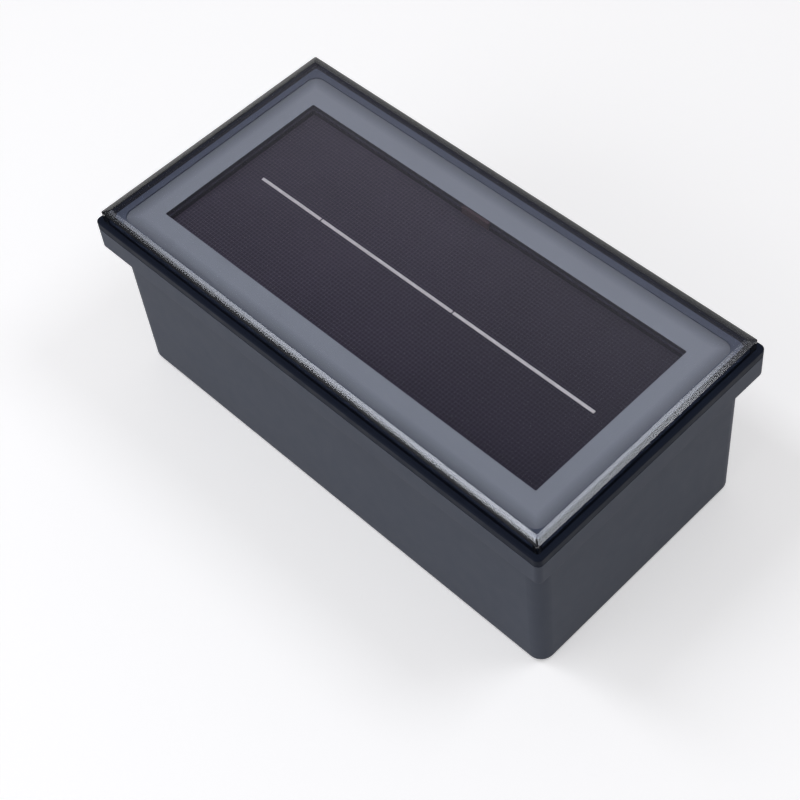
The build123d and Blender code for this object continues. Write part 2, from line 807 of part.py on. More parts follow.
# Leads
save(lead(negative_route, wire_radius), "battery_wire_negative")
save(lead(positive_route, wire_radius), "battery_wire_positive")
save(lead(switch_route, cable_radius), "switch_cable")
save(lead(panel_route, cable_radius), "panel_cable")
save(lead(led_route, cable_radius), "led_cable")

# Battery between its two contacts, along X
with BuildPart() as battery:
    with BuildSketch(Plane.YZ.offset(battery_start)):
        with Locations((0, battery_z)):
            Circle(battery_radius)
    extrude(amount=battery_length)
    with BuildSketch(Plane.YZ.offset(battery_start + battery_length)):
        with Locations((0, battery_z)):
            Circle(battery_cap_radius)
    extrude(amount=battery_cap_height)
save(battery, "battery")

contact_starts = {"contact_negative": pocket_start, "contact_positive": pocket_end - contact_thickness}
for contact_name, start in contact_starts.items():
    with BuildPart() as contact:
        with BuildSketch(Plane.YZ.offset(start)):
            with Locations((0, battery_z)):
                Rectangle(contact_size, contact_size)
        extrude(amount=contact_thickness)
    save(contact, contact_name)

# Cone-shaped spring between the negative contact and the battery
battery_spring_height = spring_length - 2 * spring_wire_radius
with BuildPart() as battery_spring:
    with BuildLine() as coil:
        Helix(
            pitch=battery_spring_height / spring_turns,
            height=battery_spring_height,
            radius=spring_radius,
            center=(pocket_start + contact_thickness + spring_wire_radius, 0, battery_z),
            direction=(1, 0, 0),
            cone_angle=-spring_cone_angle,
        )
    with BuildSketch(Plane(origin=coil.line @ 0, z_dir=coil.line % 0)):
        Circle(spring_wire_radius)
    sweep(is_frenet=True)
save(battery_spring, "battery_spring")

# Battery cover, its gasket and its screws
with BuildPart() as battery_cover:
    with BuildSketch(Plane.XY.offset(cover_sink)):
        with Locations((pocket_x, 0)):
            RectangleRounded(cover_length, cover_width, cover_corner_radius)
        with Locations(*cover_screw_spots):
            Circle(cover_screw_radius + screw_clearance, mode=Mode.SUBTRACT)
    extrude(amount=cover_thickness)
    with BuildSketch(Plane.XY.offset(cover_sink)):
        with Locations(*cover_screw_spots):
            Circle(cover_screw_head_radius + screw_clearance)
    extrude(amount=cover_screw_seat - cover_sink, mode=Mode.SUBTRACT)
save(battery_cover, "battery_cover")

gasket_inner_length = pocket_length + 2 * cover_gasket_inset
gasket_inner_width = pocket_width + 2 * cover_gasket_inset
with BuildPart() as cover_gasket:
    with BuildSketch(Plane.XY.offset(cover_top)):
        with Locations((pocket_x, 0)):
            RectangleRounded(
                gasket_inner_length + 2 * cover_gasket_width,
                gasket_inner_width + 2 * cover_gasket_width,
                cover_gasket_width,
            )
            Rectangle(gasket_inner_length, gasket_inner_width, mode=Mode.SUBTRACT)
    extrude(amount=cover_gasket_thickness)
save(cover_gasket, "cover_gasket")

with BuildPart() as cover_screws:
    with BuildSketch(Plane.XY.offset(cover_screw_seat)):
        with Locations(*cover_screw_spots):
            Circle(cover_screw_head_radius)
    extrude(amount=-cover_screw_head_height)
    with BuildSketch(Plane.XY.offset(cover_screw_seat)):
        with Locations(*cover_screw_spots):
            Circle(cover_screw_radius)
    extrude(amount=cover_screw_length)
save(cover_screws, "cover_screws")

# Power button: cap, retaining flange and stem, at rest on the guide
with BuildPart() as power_button:
    with BuildSketch(Plane.XY.offset(button_sink)):
        with Locations((button_x, 0)):
            Circle(button_radius)
    extrude(amount=button_floor_top - button_sink)
    fillet(power_button.edges().group_by(Axis.Z)[0], button_edge_radius)
    with BuildSketch(Plane.XY.offset(button_floor_top)):
        with Locations((button_x, 0)):
            Circle(button_flange_radius)
    extrude(amount=button_flange_thickness)
    with BuildSketch(Plane.XY.offset(button_flange_top)):
        with Locations((button_x, 0)):
            Circle(stem_radius)
    extrude(amount=switch_gap + stem_entry)
save(power_button, "power_button")

with BuildPart() as button_seal:
    with BuildSketch(Plane.XY.offset(seal_foot)):
        with Locations((button_x, 0)):
            Circle(button_radius + seal_clearance + seal_width)
            Circle(button_radius + seal_clearance, mode=Mode.SUBTRACT)
    extrude(amount=seal_height)
save(button_seal, "button_seal")

button_spring_height = switch_gap - 2 * (button_spring_wire_radius + spring_seat_gap)
with BuildPart() as button_spring:
    with BuildLine() as coil:
        Helix(
            pitch=button_spring_height / button_spring_turns,
            height=button_spring_height,
            radius=button_spring_radius,
            center=(button_x, 0, button_flange_top + button_spring_wire_radius + spring_seat_gap),
        )
    with BuildSketch(Plane(origin=coil.line @ 0, z_dir=coil.line % 0)):
        Circle(button_spring_wire_radius)
    sweep(is_frenet=True)
save(button_spring, "button_spring")

# Switch on its two posts, with a bore that the button's stem runs in
with BuildPart() as switch_body:
    with BuildSketch(Plane.XY.offset(switch_foot)):
        with Locations((button_x, 0)):
            Rectangle(switch_size, switch_size)
    extrude(amount=switch_height)
    with BuildSketch(Plane.XY.offset(switch_foot)):
        with Locations((button_x, 0)):
            Rectangle(2 * switch_post_x + post_width, switch_size)
        with Locations(*switch_post_spots):
            Circle(switch_screw_radius + screw_clearance, mode=Mode.SUBTRACT)
    extrude(amount=switch_ear_thickness)
    with BuildSketch(Plane.XY.offset(switch_foot)):
        with Locations((button_x, 0)):
            Circle(stem_radius + stem_clearance)
    extrude(amount=stem_entry + button_travel + stem_clearance, mode=Mode.SUBTRACT)
save(switch_body, "switch_body")

with BuildPart() as switch_screws:
    with BuildSketch(Plane.XY.offset(switch_ear_top)):
        with Locations(*switch_post_spots):
            Circle(switch_screw_head_radius)
    extrude(amount=switch_screw_head_height)
    with BuildSketch(Plane.XY.offset(switch_ear_top)):
        with Locations(*switch_post_spots):
            Circle(switch_screw_radius)
    extrude(amount=-switch_screw_length)
save(switch_screws, "switch_screws")
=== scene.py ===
import json
import math

import bmesh
import bpy
from mathutils import Matrix, Vector


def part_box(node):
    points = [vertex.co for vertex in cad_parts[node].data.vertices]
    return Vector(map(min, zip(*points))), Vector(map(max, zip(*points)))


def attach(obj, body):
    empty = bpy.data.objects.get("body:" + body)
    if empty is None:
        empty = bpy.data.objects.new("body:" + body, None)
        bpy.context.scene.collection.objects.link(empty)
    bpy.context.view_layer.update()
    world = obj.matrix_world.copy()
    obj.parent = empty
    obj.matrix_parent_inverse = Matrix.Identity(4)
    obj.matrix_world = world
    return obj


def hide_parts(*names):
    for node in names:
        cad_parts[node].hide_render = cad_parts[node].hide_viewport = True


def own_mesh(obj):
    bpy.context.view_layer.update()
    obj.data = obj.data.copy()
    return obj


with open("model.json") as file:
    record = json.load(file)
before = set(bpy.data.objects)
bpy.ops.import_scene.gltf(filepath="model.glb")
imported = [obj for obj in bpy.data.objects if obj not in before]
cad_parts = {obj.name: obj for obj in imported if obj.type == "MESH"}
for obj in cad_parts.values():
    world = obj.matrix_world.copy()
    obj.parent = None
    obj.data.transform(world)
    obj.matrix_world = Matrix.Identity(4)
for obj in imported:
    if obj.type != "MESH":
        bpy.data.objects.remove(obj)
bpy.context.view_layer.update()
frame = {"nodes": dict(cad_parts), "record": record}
nodes = frame["nodes"]

MM = 0.001
lens_wall = 2.2 * MM  # used by the lens and by the rim's material


# Camera, fitted to the photograph
camera_azimuth = 50.666
camera_elevation = 50.299
camera_roll = -7.371
camera_lens = 81.256
camera_sensor = 36
camera_shift = -0.1
camera_near = 0.01
camera_offset = Vector((4.753, 10.465, -578.482)) * MM  # of the aim point, in the camera's axes
aim_point = Vector((0, 0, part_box("base_housing")[1].z))


def make_camera():
    azimuth, elevation, roll = (
        math.radians(angle) for angle in (camera_azimuth, camera_elevation, camera_roll)
    )
    back = Vector((
        math.sin(azimuth) * math.cos(elevation),
        -math.cos(azimuth) * math.cos(elevation),
        math.sin(elevation),
    ))
    level_right = Vector((math.cos(azimuth), math.sin(azimuth), 0))
    level_up = back.cross(level_right)
    right = level_right * math.cos(roll) + level_up * math.sin(roll)
    up = level_up * math.cos(roll) - level_right * math.sin(roll)
    axes = Matrix((right, up, back)).transposed()
    data = bpy.data.cameras.new("camera")
    data.lens = camera_lens
    data.sensor_width = camera_sensor
    data.shift_y = camera_shift
    data.clip_start = camera_near
    camera = bpy.data.objects.new("camera", data)
    camera.matrix_world = Matrix.Translation(aim_point - axes @ camera_offset) @ axes.to_4x4()
    bpy.context.scene.collection.objects.link(camera)
    bpy.context.scene.camera = camera


make_camera()


# Colours and node helpers
mix_first, mix_second, mix_result = 6, 7, 2  # colour sockets of a Mix node, whose names aren't unique
half_tilt = 0.5  # between upright faces and level ones


def linear(red, green, blue):
    """Linear colour of an sRGB colour given in 0 to 255."""
    values = [channel / 255 for channel in (red, green, blue)]
    return tuple(v / 12.92 if v <= 0.04045 else ((v + 0.055) / 1.055) ** 2.4 for v in values)


def shade(colour, factor):
    """A colour made lighter or darker by a factor."""
    return tuple(channel * factor for channel in colour)


class Material:
    """A Principled material with helpers that add procedural detail in the object's own metres."""

    def __init__(self, name, **sockets):
        self.name = name
        self.data = bpy.data.materials.new(name)
        self.data.use_nodes = True
        self.tree = self.data.node_tree
        self.tree.nodes.clear()
        self.output = self.add("OutputMaterial")
        self.surface = self.add("BsdfPrincipled")
        self.link(self.surface.outputs["BSDF"], self.output.inputs["Surface"])
        for socket, value in sockets.items():
            self.surface.inputs[socket.replace("_", " ")].default_value = value
        self.spot = self.add("TexCoord")
        self.place = self.spot.outputs["Object"]

    def add(self, kind, **settings):
        node = self.tree.nodes.new("ShaderNode" + kind)
        for key, value in settings.items():
            setattr(node, key, value)
        return node

    def link(self, source, target):
        self.tree.links.new(source, target)

    def noise(self, size, detail=3, stretch=(1, 1, 1)):
        """Noise whose features are about size metres across."""
        mapping = self.add("Mapping")
        mapping.inputs["Scale"].default_value = stretch
        self.link(self.place, mapping.inputs["Vector"])
        noise = self.add("TexNoise")
        noise.inputs["Scale"].default_value = 1 / size
        noise.inputs["Detail"].default_value = detail
        self.link(mapping.outputs["Vector"], noise.inputs["Vector"])
        return noise.outputs["Fac"]

    def spread(self, value, low, high, from_low=0.3, from_high=0.7):
        """A value spread over low to high, from a given range or the one that noise mostly fills."""
        node = self.add("MapRange")
        node.inputs["From Min"].default_value = from_low
        node.inputs["From Max"].default_value = from_high
        node.inputs["To Min"].default_value = low
        node.inputs["To Max"].default_value = high
        self.link(value, node.inputs["Value"])
        return node.outputs["Result"]

    def math(self, operation, first, second=0.0):
        """Result of a Math node on numbers or sockets."""
        node = self.add("Math", operation=operation)
        for socket, value in zip(node.inputs, (first, second)):
            if isinstance(value, (int, float)):
                socket.default_value = value
            else:
                self.link(value, socket)
        return node.outputs["Value"]

    def mix(self, factor, first, second):
        """Colour between two colours, each a tuple or a socket."""
        node = self.add("Mix", data_type="RGBA")
        self.link(factor, node.inputs["Factor"])
        for socket, value in ((node.inputs[mix_first], first), (node.inputs[mix_second], second)):
            if isinstance(value, tuple):
                socket.default_value = (*value, 1)
            else:
                self.link(value, socket)
        return node.outputs[mix_result]

    def parts(self, vector):
        """X, Y and Z of a vector."""
        node = self.add("SeparateXYZ")
        self.link(vector, node.inputs["Vector"])
        return node.outputs

    def tilt(self):
        """How far a face's normal points up or down: 0 on upright faces and 1 on level ones."""
        return self.math("ABSOLUTE", self.parts(self.spot.outputs["Normal"])["Z"])

    def face(self):
        """The colour that the material has so far."""
        return self.surface.inputs["Base Color"].links[0].from_socket

    def colour(self, socket):
        self.link(socket, self.surface.inputs["Base Color"])

    def rough(self, socket):
        self.link(socket, self.surface.inputs["Roughness"])

    def bump(self, height, depth):
        """Bump from a height of 0 to 1 that stands for depth metres."""
        node = self.add("Bump")
        node.inputs["Distance"].default_value = depth
        self.link(height, node.inputs["Height"])
        self.link(node.outputs["Normal"], self.surface.inputs["Normal"])


def moulded(
    name, colour, roughness, grain=0.2 * MM, depth=0.012 * MM, tone=0.05, rough_spread=0.06, specular=0.5,
):
    """Moulded plastic or rubber: fine grain, slow changes of tone, uneven gloss."""
    made = Material(name, Specular_IOR_Level=specular)
    slow = made.spread(made.noise(30 * MM, detail=2), 0, 1)
    made.colour(made.mix(slow, shade(colour, 1 - tone), shade(colour, 1 + tone)))
    made.rough(made.spread(made.noise(6 * MM), roughness - rough_spread, roughness + rough_spread))
    made.bump(made.noise(grain, detail=2), depth)
    return made


def metal(name, colour, roughness, stretch=(1, 1, 1), size=0.4 * MM, metallic=1.0):
    """Metal with fine drawn or brushed lines along the axis that stretch shortens."""
    darkest, lightest = 0.85, 1.08
    smoother, rougher = 0.06, 0.08
    made = Material(name, Metallic=metallic)
    lines = made.noise(size, detail=2, stretch=stretch)
    made.colour(made.mix(made.spread(lines, 0, 1), shade(colour, darkest), shade(colour, lightest)))
    made.rough(made.spread(made.noise(2 * MM), roughness - smoother, roughness + rougher))
    made.bump(lines, depth=0.004 * MM)
    return made


def stripes(made, axis, pitch, share):
    """1 on lines across an axis, each a share of the pitch wide, and 0 between them."""
    turns = made.math("MULTIPLY", made.parts(made.place)[axis], 1 / pitch)
    return made.math("LESS_THAN", made.math("FRACT", turns), share)


def inset_from(made, node):
    """How far a point lies inside the outline of a CAD node, seen from above, in metres."""
    half_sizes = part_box(node)[1]
    place = made.parts(made.place)
    gaps = [
        made.math("SUBTRACT", half_sizes[axis], made.math("ABSOLUTE", place[axis])) for axis in (0, 1)
    ]
    return made.math("MINIMUM", *gaps)


# Materials: one for each slot of the record, and one for the inductor's winding
def lens_material():
    """Clear plastic, smoked on its upright sides, polished, and a little softer on its bevel."""
    bevel_tilt = (0.8, 0.99)
    polished, softer = 0.02, 0.15
    shadow_tint = (0.93, 0.94, 0.95, 1)
    made = Material("lens_clear", Transmission_Weight=1.0, IOR=1.58)
    made.colour(made.mix(made.noise(50 * MM, detail=1), (0.96, 0.975, 0.985), (0.985, 0.99, 0.995)))
    tilt = made.tilt()
    made.colour(made.mix(made.math("LESS_THAN", tilt, half_tilt), made.face(), (0.27, 0.29, 0.34)))
    bevel = made.math(
        "MULTIPLY",
        made.math("GREATER_THAN", tilt, bevel_tilt[0]), made.math("LESS_THAN", tilt, bevel_tilt[1]),
    )
    made.rough(made.spread(bevel, polished, softer, 0, 1))
    clear = made.add("BsdfTransparent")
    clear.inputs["Color"].default_value = shadow_tint
    path = made.add("LightPath")
    mixer = made.add("MixShader")
    made.link(path.outputs["Is Shadow Ray"], mixer.inputs["Fac"])
    made.link(made.surface.outputs["BSDF"], mixer.inputs[1])
    made.link(clear.outputs["BSDF"], mixer.inputs[2])
    made.link(mixer.outputs["Shader"], made.output.inputs["Surface"])
    return made


def cell_material():
    """Purple-black cell under a fine grid of printed lines, with painted shade that darkens it slowly
    along its length.
    """
    line_pitch, line_share, line_strength = 1.3 * MM, 0.18, 0.5
    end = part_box("solar_cell")[1].x
    painted_shade_start, painted_shade_strength = -0.4 * end, 0.5
    made = Material("cell_face", Specular_IOR_Level=0.25)
    blotches = made.spread(made.noise(20 * MM, detail=4), 0, 1)
    base = made.mix(blotches, linear(38, 32, 42), linear(46, 39, 50))
    fine = made.math("MAXIMUM", *(stripes(made, axis, line_pitch, line_share) for axis in "XY"))
    made.colour(made.mix(made.math("MULTIPLY", fine, line_strength), base, linear(84, 76, 89)))
    # painted shade: darker towards the +X end of the cell
    along = made.spread(made.parts(made.place)["X"], 0, 1, painted_shade_start, end)
    made.colour(made.mix(made.math("MULTIPLY", along, painted_shade_strength), made.face(), linear(22, 20, 28)))
    made.rough(made.spread(made.noise(4 * MM), 0.3, 0.42))
    return made


def diffuser_material():
    """Milky plastic, with painted shade that darkens it towards its outer edge, and with a blackened edge
    round the window.
    """
    painted_shade_width, window_inset = 4.8 * MM, 5.0 * MM
    made = moulded("diffuser_plastic", linear(132, 134, 141), 0.5, tone=0.015)
    inset = inset_from(made, "diffuser_frame")
    # painted shade: the outer edge is darker over the painted shade width
    made.colour(made.mix(made.spread(inset, 0, 1, 0, painted_shade_width), linear(94, 96, 103), made.face()))
    at_window = made.math("GREATER_THAN", inset, window_inset)
    window_wall = made.math("MULTIPLY", made.math("LESS_THAN", made.tilt(), half_tilt), at_window)
    made.colour(made.mix(window_wall, made.face(), linear(19, 16, 27)))
    return made


def rim_material():
    """Near-black plastic with painted light: a lighter face on the level ledge inside the lens and round
    the opening.
    """
    rim_x, lens_x, border_x = (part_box(node)[1].x for node in ("rim_frame", "lens", "diffuser_frame"))
    ledge_inset = rim_x - lens_x + lens_wall + 0.05 * MM
    opening_inset = rim_x - border_x - 0.3 * MM
    made = moulded("rim_plastic", linear(27, 32, 44), 0.5, depth=0.006 * MM, specular=0.06)
    inset = inset_from(made, "rim_frame")
    level = made.math("GREATER_THAN", made.tilt(), half_tilt)
    ledge = made.math("MULTIPLY", made.math("GREATER_THAN", inset, ledge_inset), level)
    painted_light_face = made.math("MAXIMUM", ledge, made.math("GREATER_THAN", inset, opening_inset))
    # painted light: the ledge and the faces round the opening take a lighter colour
    made.colour(made.mix(painted_light_face, made.face(), linear(76, 81, 95)))
    return made


def tray_material():
    """Matte black, with painted light on its level faces, which are a little lighter."""
    made = moulded("tray_plastic", linear(17, 14, 24), 0.5, specular=0.2)
    level = made.math("GREATER_THAN", made.tilt(), half_tilt)
    # painted light: level faces lighter than the upright ones
    made.colour(made.mix(level, made.face(), linear(42, 39, 51)))
    return made


def board_material(name, mask, track):
    """Circuit board: solder mask with faint tracks under it."""
    made = Material(name)
    tracks = made.math("MAXIMUM", stripes(made, "X", 4.1 * MM, 0.16), stripes(made, "Y", 5.3 * MM, 0.12))
    patch = made.spread(made.noise(9 * MM, detail=0), 0, 1, 0.49, 0.51)
    made.colour(made.mix(made.math("MULTIPLY", tracks, patch), mask, track))
    made.rough(made.spread(made.noise(3 * MM), 0.32, 0.46))
    made.bump(tracks, depth=0.03 * MM)
    return made


def led_material():
    """Yellow phosphor, uneven in its colour and surface."""
    made = Material("led_body", Roughness=0.3)
    glow = made.spread(made.noise(1.5 * MM, detail=1), 0, 1, 0.35, 0.65)
    made.colour(made.mix(glow, linear(238, 214, 120), linear(246, 236, 190)))
    made.bump(made.noise(0.3 * MM), depth=0.02 * MM)
    return made


materials = {
    made.name: made.data
    for made in (
        moulded(
            "housing_plastic", linear(65, 70, 82), 0.55, tone=0.012, rough_spread=0.02, specular=0.2,
        ),
        rim_material(),
        lens_material(),
        diffuser_material(),
        tray_material(),
        moulded("reflector_plastic", linear(236, 236, 232), 0.35, tone=0.02),
        cell_material(),
        metal("ribbon_metal", linear(222, 214, 212), 0.4, (0.1, 1, 1), size=0.3 * MM, metallic=0.3),
        moulded("clip_plastic", linear(52, 32, 36), 0.45),
        moulded("gasket_rubber", linear(22, 22, 25), 0.75, depth=0.02 * MM),
        metal("screw_steel", linear(196, 196, 198), 0.3),
        metal("spring_steel", linear(206, 206, 210), 0.22),
        metal("contact_plate", linear(214, 208, 196), 0.25, stretch=(1, 0.1, 1)),
        board_material("board_green", linear(18, 84, 50), linear(40, 116, 72)),
        board_material("board_white", linear(232, 232, 226), linear(214, 212, 200)),
        board_material("board_back", linear(42, 58, 46), linear(66, 78, 60)),
        led_material(),
        moulded("chip_plastic", linear(30, 30, 32), 0.55, grain=0.12 * MM),
        moulded("capacitor_sleeve", linear(34, 38, 52), 0.3, depth=0.004 * MM),
        moulded("socket_plastic", linear(226, 220, 204), 0.5),
        moulded("wire_red", linear(168, 26, 26), 0.45),
        moulded("wire_black", linear(26, 26, 28), 0.45),
        moulded("battery_wrap", linear(30, 120, 128), 0.28, depth=0.003 * MM),
        moulded("button_plastic", linear(44, 45, 50), 0.6, grain=0.3 * MM, depth=0.02 * MM),
        moulded("switch_plastic", linear(34, 34, 37), 0.5),
        metal("copper_winding", linear(186, 108, 62), 0.35, stretch=(1, 1, 0.1)),
    )
}


def dress(piece, *slots):
    """Gives a piece the materials of these slots."""
    piece.data.materials.clear()
    for slot in slots:
        piece.data.materials.append(materials[slot])


for subpart in frame["record"]["subparts"]:
    dress(nodes[subpart["node"]], subpart["material_slot"])


# Mesh helpers. A ring is a list of points, and rings of equal length are joined into a closed skin.
def ring(half_x, half_y, radius, height, middle=(0, 0), steps=12):
    """Rounded rectangle, anticlockwise seen from above."""
    points = []
    for quarter, (side_x, side_y) in enumerate(((1, 1), (-1, 1), (-1, -1), (1, -1))):
        for step in range(steps + 1):
            angle = math.pi / 2 * (quarter + step / steps)
            points.append(Vector((
                middle[0] + side_x * (half_x - radius) + radius * math.cos(angle),
                middle[1] + side_y * (half_y - radius) + radius * math.sin(angle),
                height,
            )))
    return points


def circle(centre, normal, radius, steps=48):
    """Circle round a centre, square to a normal."""
    across = normal.orthogonal().normalized()
    return [
        centre + Matrix.Rotation(math.tau * step / steps, 3, normal) @ across * radius
        for step in range(steps)
    ]


def add_rows(mesh, rings):
    """One row of vertices for each ring."""
    return [[mesh.verts.new(point) for point in points] for points in rings]


def join_rows(mesh, rows):
    """Faces between each row of vertices and the next."""
    faces = []
    for lower, upper in zip(rows, rows[1:]):
        for i in range(len(lower)):
            j = (i + 1) % len(lower)
            faces.append(mesh.faces.new((lower[i], lower[j], upper[j], upper[i])))
    return faces


def add_rings(mesh, rings, index=0):
    """Closed skin through rings, capped at both ends."""
    rows = add_rows(mesh, rings)
    caps = [mesh.faces.new(tuple(reversed(rows[0]))), mesh.faces.new(rows[-1])]
    for face in caps + join_rows(mesh, rows):
        face.material_index = index


def add_loop(mesh, rings):
    """Closed frame through rings, the last of which joins the first."""
    rows = add_rows(mesh, rings)
    join_rows(mesh, rows + rows[:1])


def add_block(mesh, low, high, radius, index=0):
    """Block with rounded upright edges and chamfered top and bottom."""
    middle = ((low[0] + high[0]) / 2, (low[1] + high[1]) / 2)
    half_x, half_y = (high[0] - low[0]) / 2, (high[1] - low[1]) / 2
    cut = radius / 2
    levels = ((cut, low[2]), (0, low[2] + cut), (0, high[2] - cut), (cut, high[2]))
    rings = [ring(half_x - inset, half_y - inset, radius, z, middle, steps=4) for inset, z in levels]
    add_rings(mesh, rings, index)


def add_turned(mesh, base, axis, profile, index=0, steps=48):
    """Turned shape from pairs of radius and distance along an axis, in millimetres."""
    axis = Vector(axis)
    add_rings(mesh, [circle(base + axis * z * MM, axis, r * MM, steps) for r, z in profile], index)


def add_tube(mesh, points, radius, steps=10):
    """Round wire through points."""
    rings = []
    across = None
    for i, point in enumerate(points):
        ahead = (points[min(i + 1, len(points) - 1)] - points[max(i - 1, 0)]).normalized()
        across = ahead.orthogonal() if across is None else across - ahead * across.dot(ahead)
        across.normalize()
        turns = [Matrix.Rotation(math.tau * step / steps, 3, ahead) for step in range(steps)]
        rings.append([point + turn @ across * radius for turn in turns])
    add_rings(mesh, rings)


def finish_piece(mesh, name, slots, replaced=(), body="lamp", sharp=30):
    """Turns a mesh into a piece that rides on a body and stands for the replaced nodes.
    """
    bmesh.ops.recalc_face_normals(mesh, faces=mesh.faces)
    data = bpy.data.meshes.new(name)
    mesh.to_mesh(data)
    mesh.free()
    data.shade_smooth()
    data.set_sharp_from_angle(angle=math.radians(sharp))
    piece = bpy.data.objects.new(name, data)
    bpy.context.scene.collection.objects.link(piece)
    weighted = piece.modifiers.new("even_normals", "WEIGHTED_NORMAL")
    weighted.keep_sharp = True
    dress(piece, *slots)
    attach(piece, body)
    if replaced:
        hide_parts(*replaced)
    return piece


# Lens: upright side, crowned bevel and plate, hollow underneath
lens_plate = 2.0 * MM
lens_bevel_height = 1.0 * MM
lens_bevel_width = 2.7 * MM
lens_bevel_rows = 8
lens_corner = 0.8 * MM
lens_top_corner = 0.2 * MM
lens_crown = 0.06 * MM
lens_edge_guard = 0.1 * MM  # keeps the shading of the side apart from the bevel's


def make_lens():
    low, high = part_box("lens")
    wall_top = high.z - lens_bevel_height
    slope = math.atan2(lens_bevel_height, lens_bevel_width)

    def level(inset, radius, height):
        return ring(high.x - inset, high.y - inset, radius, height)

    rings = [
        level(lens_wall, lens_corner, high.z - lens_plate),
        level(lens_wall, lens_corner, low.z),
        level(0, lens_corner, low.z),
        level(0, lens_corner, wall_top - lens_edge_guard),
    ]
    for row in range(lens_bevel_rows + 1):
        share = row / lens_bevel_rows
        swell = lens_crown * 4 * share * (1 - share)
        inset = share * lens_bevel_width - swell * math.sin(slope)
        height = wall_top + share * lens_bevel_height + swell * math.cos(slope)
        radius = lens_top_corner + (lens_corner - lens_top_corner) * (1 - share) ** 2
        rings.append(level(max(inset, 0), radius, height))
    mesh = bmesh.new()
    add_rings(mesh, rings)
    finish_piece(mesh, "clear_lens", ["lens_clear"], ["lens"], sharp=12)


# Milky frame under the lens, fitted close to the rim, with softened edges
border_ends = 10.0 * MM
border_sides = 10.7 * MM
border_fit = 0.18 * MM
border_corner = 4.1 * MM
border_edge = 0.15 * MM
window_corner = 0.4 * MM


def make_border():
    low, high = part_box("diffuser_frame")
    cut = 0.3 * border_edge
    side = [(0, low.z), (0, high.z - border_edge), (cut, high.z - cut), (border_edge, high.z)]
    outer_x, outer_y = high.x + border_fit, high.y + border_fit
    inner_x, inner_y = high.x - border_ends, high.y - border_sides
    rings = [ring(outer_x - inset, outer_y - inset, border_corner, z) for inset, z in side]
    rings += [ring(inner_x + inset, inner_y + inset, window_corner, z) for inset, z in reversed(side)]
    mesh = bmesh.new()
    add_loop(mesh, rings)
    finish_piece(mesh, "milky_border", ["diffuser_plastic"], ["diffuser_frame"])


# Screws: node, head radius, head height, shank radius, and whether the heads point up
screw_sizes = (
    ("frame_screws", 2.8 * MM, 2.0 * MM, 1.5 * MM, False),
    ("cover_screws", 2.3 * MM, 1.1 * MM, 1.25 * MM, False),
    ("board_screws", 2.0 * MM, 1.2 * MM, 1.0 * MM, True),
    ("switch_screws", 1.8 * MM, 1.1 * MM, 1.0 * MM, True),
)
screw_steps = 32


def shank_profile(radius, length):
    """Radius and height up a blunt threaded shank, which ends at a height of 0."""
    pitch, root = 0.4 * radius, 0.84 * radius
    profile = [(0.25 * radius, -length), (0.8 * radius, 1.2 * radius - length)]
    height = 1.4 * radius - length
    while height < -pitch:
        profile += [(radius, height), (root, height + pitch / 2)]
        height += pitch
    return profile + [(radius, -pitch / 2), (radius, 0)]


def head_profile(radius, height):
    """Radius and height up a pan head, which starts at a height of 0."""
    return [
        (0.97 * radius, 0), (radius, 0.08 * height), (radius, 0.45 * height),
        (0.94 * radius, 0.78 * height), (0.8 * radius, height),
    ]


def add_recess(mesh, edge, top, up, head_radius, depth):
    """Cross recess in the flat top of a head that has this edge of vertices."""
    arm, half_arm, taper = 0.52 * head_radius, 0.12 * head_radius, 0.6
    across = up.orthogonal().normalized()
    along = up.cross(across)
    corners = []
    for turn in range(4):
        for u, v in ((arm, -half_arm), (arm, half_arm), (half_arm, half_arm)):
            turned = Matrix.Rotation(math.pi / 2 * turn, 2) @ Vector((u, v))
            corners.append(across * turned.x + along * turned.y)
    brim = [mesh.verts.new(top + corner) for corner in corners]
    pit = [mesh.verts.new(top - up * depth + corner * taper) for corner in corners]
    edges = [mesh.edges.new((brim[i - 1], brim[i])) for i in range(len(brim))]
    edges += [mesh.edges.get((edge[i - 1], edge[i])) for i in range(len(edge))]
    bmesh.ops.triangle_fill(mesh, use_beauty=True, edges=edges)
    for i in range(len(brim)):
        mesh.faces.new((brim[i - 1], brim[i], pit[i], pit[i - 1]))
    mesh.faces.new(pit)


def add_screw(mesh, seat, up, head_radius, head_height, shank_radius, length):
    """Pan head with a cross recess on a threaded shank. The seat is the foot of the head."""
    profile = shank_profile(shank_radius, length) + head_profile(head_radius, head_height)
    rows = add_rows(mesh, [circle(seat + up * z, up, radius, screw_steps) for radius, z in profile])
    mesh.faces.new(tuple(reversed(rows[0])))
    join_rows(mesh, rows)
    add_recess(mesh, rows[-1], seat + up * head_height, up, head_radius, depth=0.55 * head_height)


def make_screws(node, head_radius, head_height, shank_radius, heads_up):
    """One screw at each corner of the node's box, or at each end of it where the box is one head wide."""
    low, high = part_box(node)
    length = high.z - low.z - head_height
    seat_z = high.z - head_height if heads_up else low.z + head_height
    up = Vector((0, 0, 1 if heads_up else -1))
    columns = {round(x, 6) for x in (low.x + head_radius, high.x - head_radius)}
    lines = {round(y, 6) for y in (low.y + head_radius, high.y - head_radius)}
    mesh = bmesh.new()
    for x in sorted(columns):
        for y in sorted(lines):
            add_screw(mesh, Vector((x, y, seat_z)), up, head_radius, head_height, shank_radius, length)
    finish_piece(mesh, node.replace("screws", "cross_screws"), ["screw_steel"], [node])


# Power button and its spring, with the button's radii and heights in millimetres
button_radius = 5.0
button_edge = 0.6
button_cap = 4.6
button_dish = [(0.8, 0.34), (1.8, 0.3), (2.8, 0.18), (3.5, 0.05), (3.9, 0.0)]
button_flange_radius = 6.2
button_flange_top = 5.6
button_flange_cut = 0.15
button_stem_radius = 2.0
button_stem_cut = 0.3
button_steps = 64


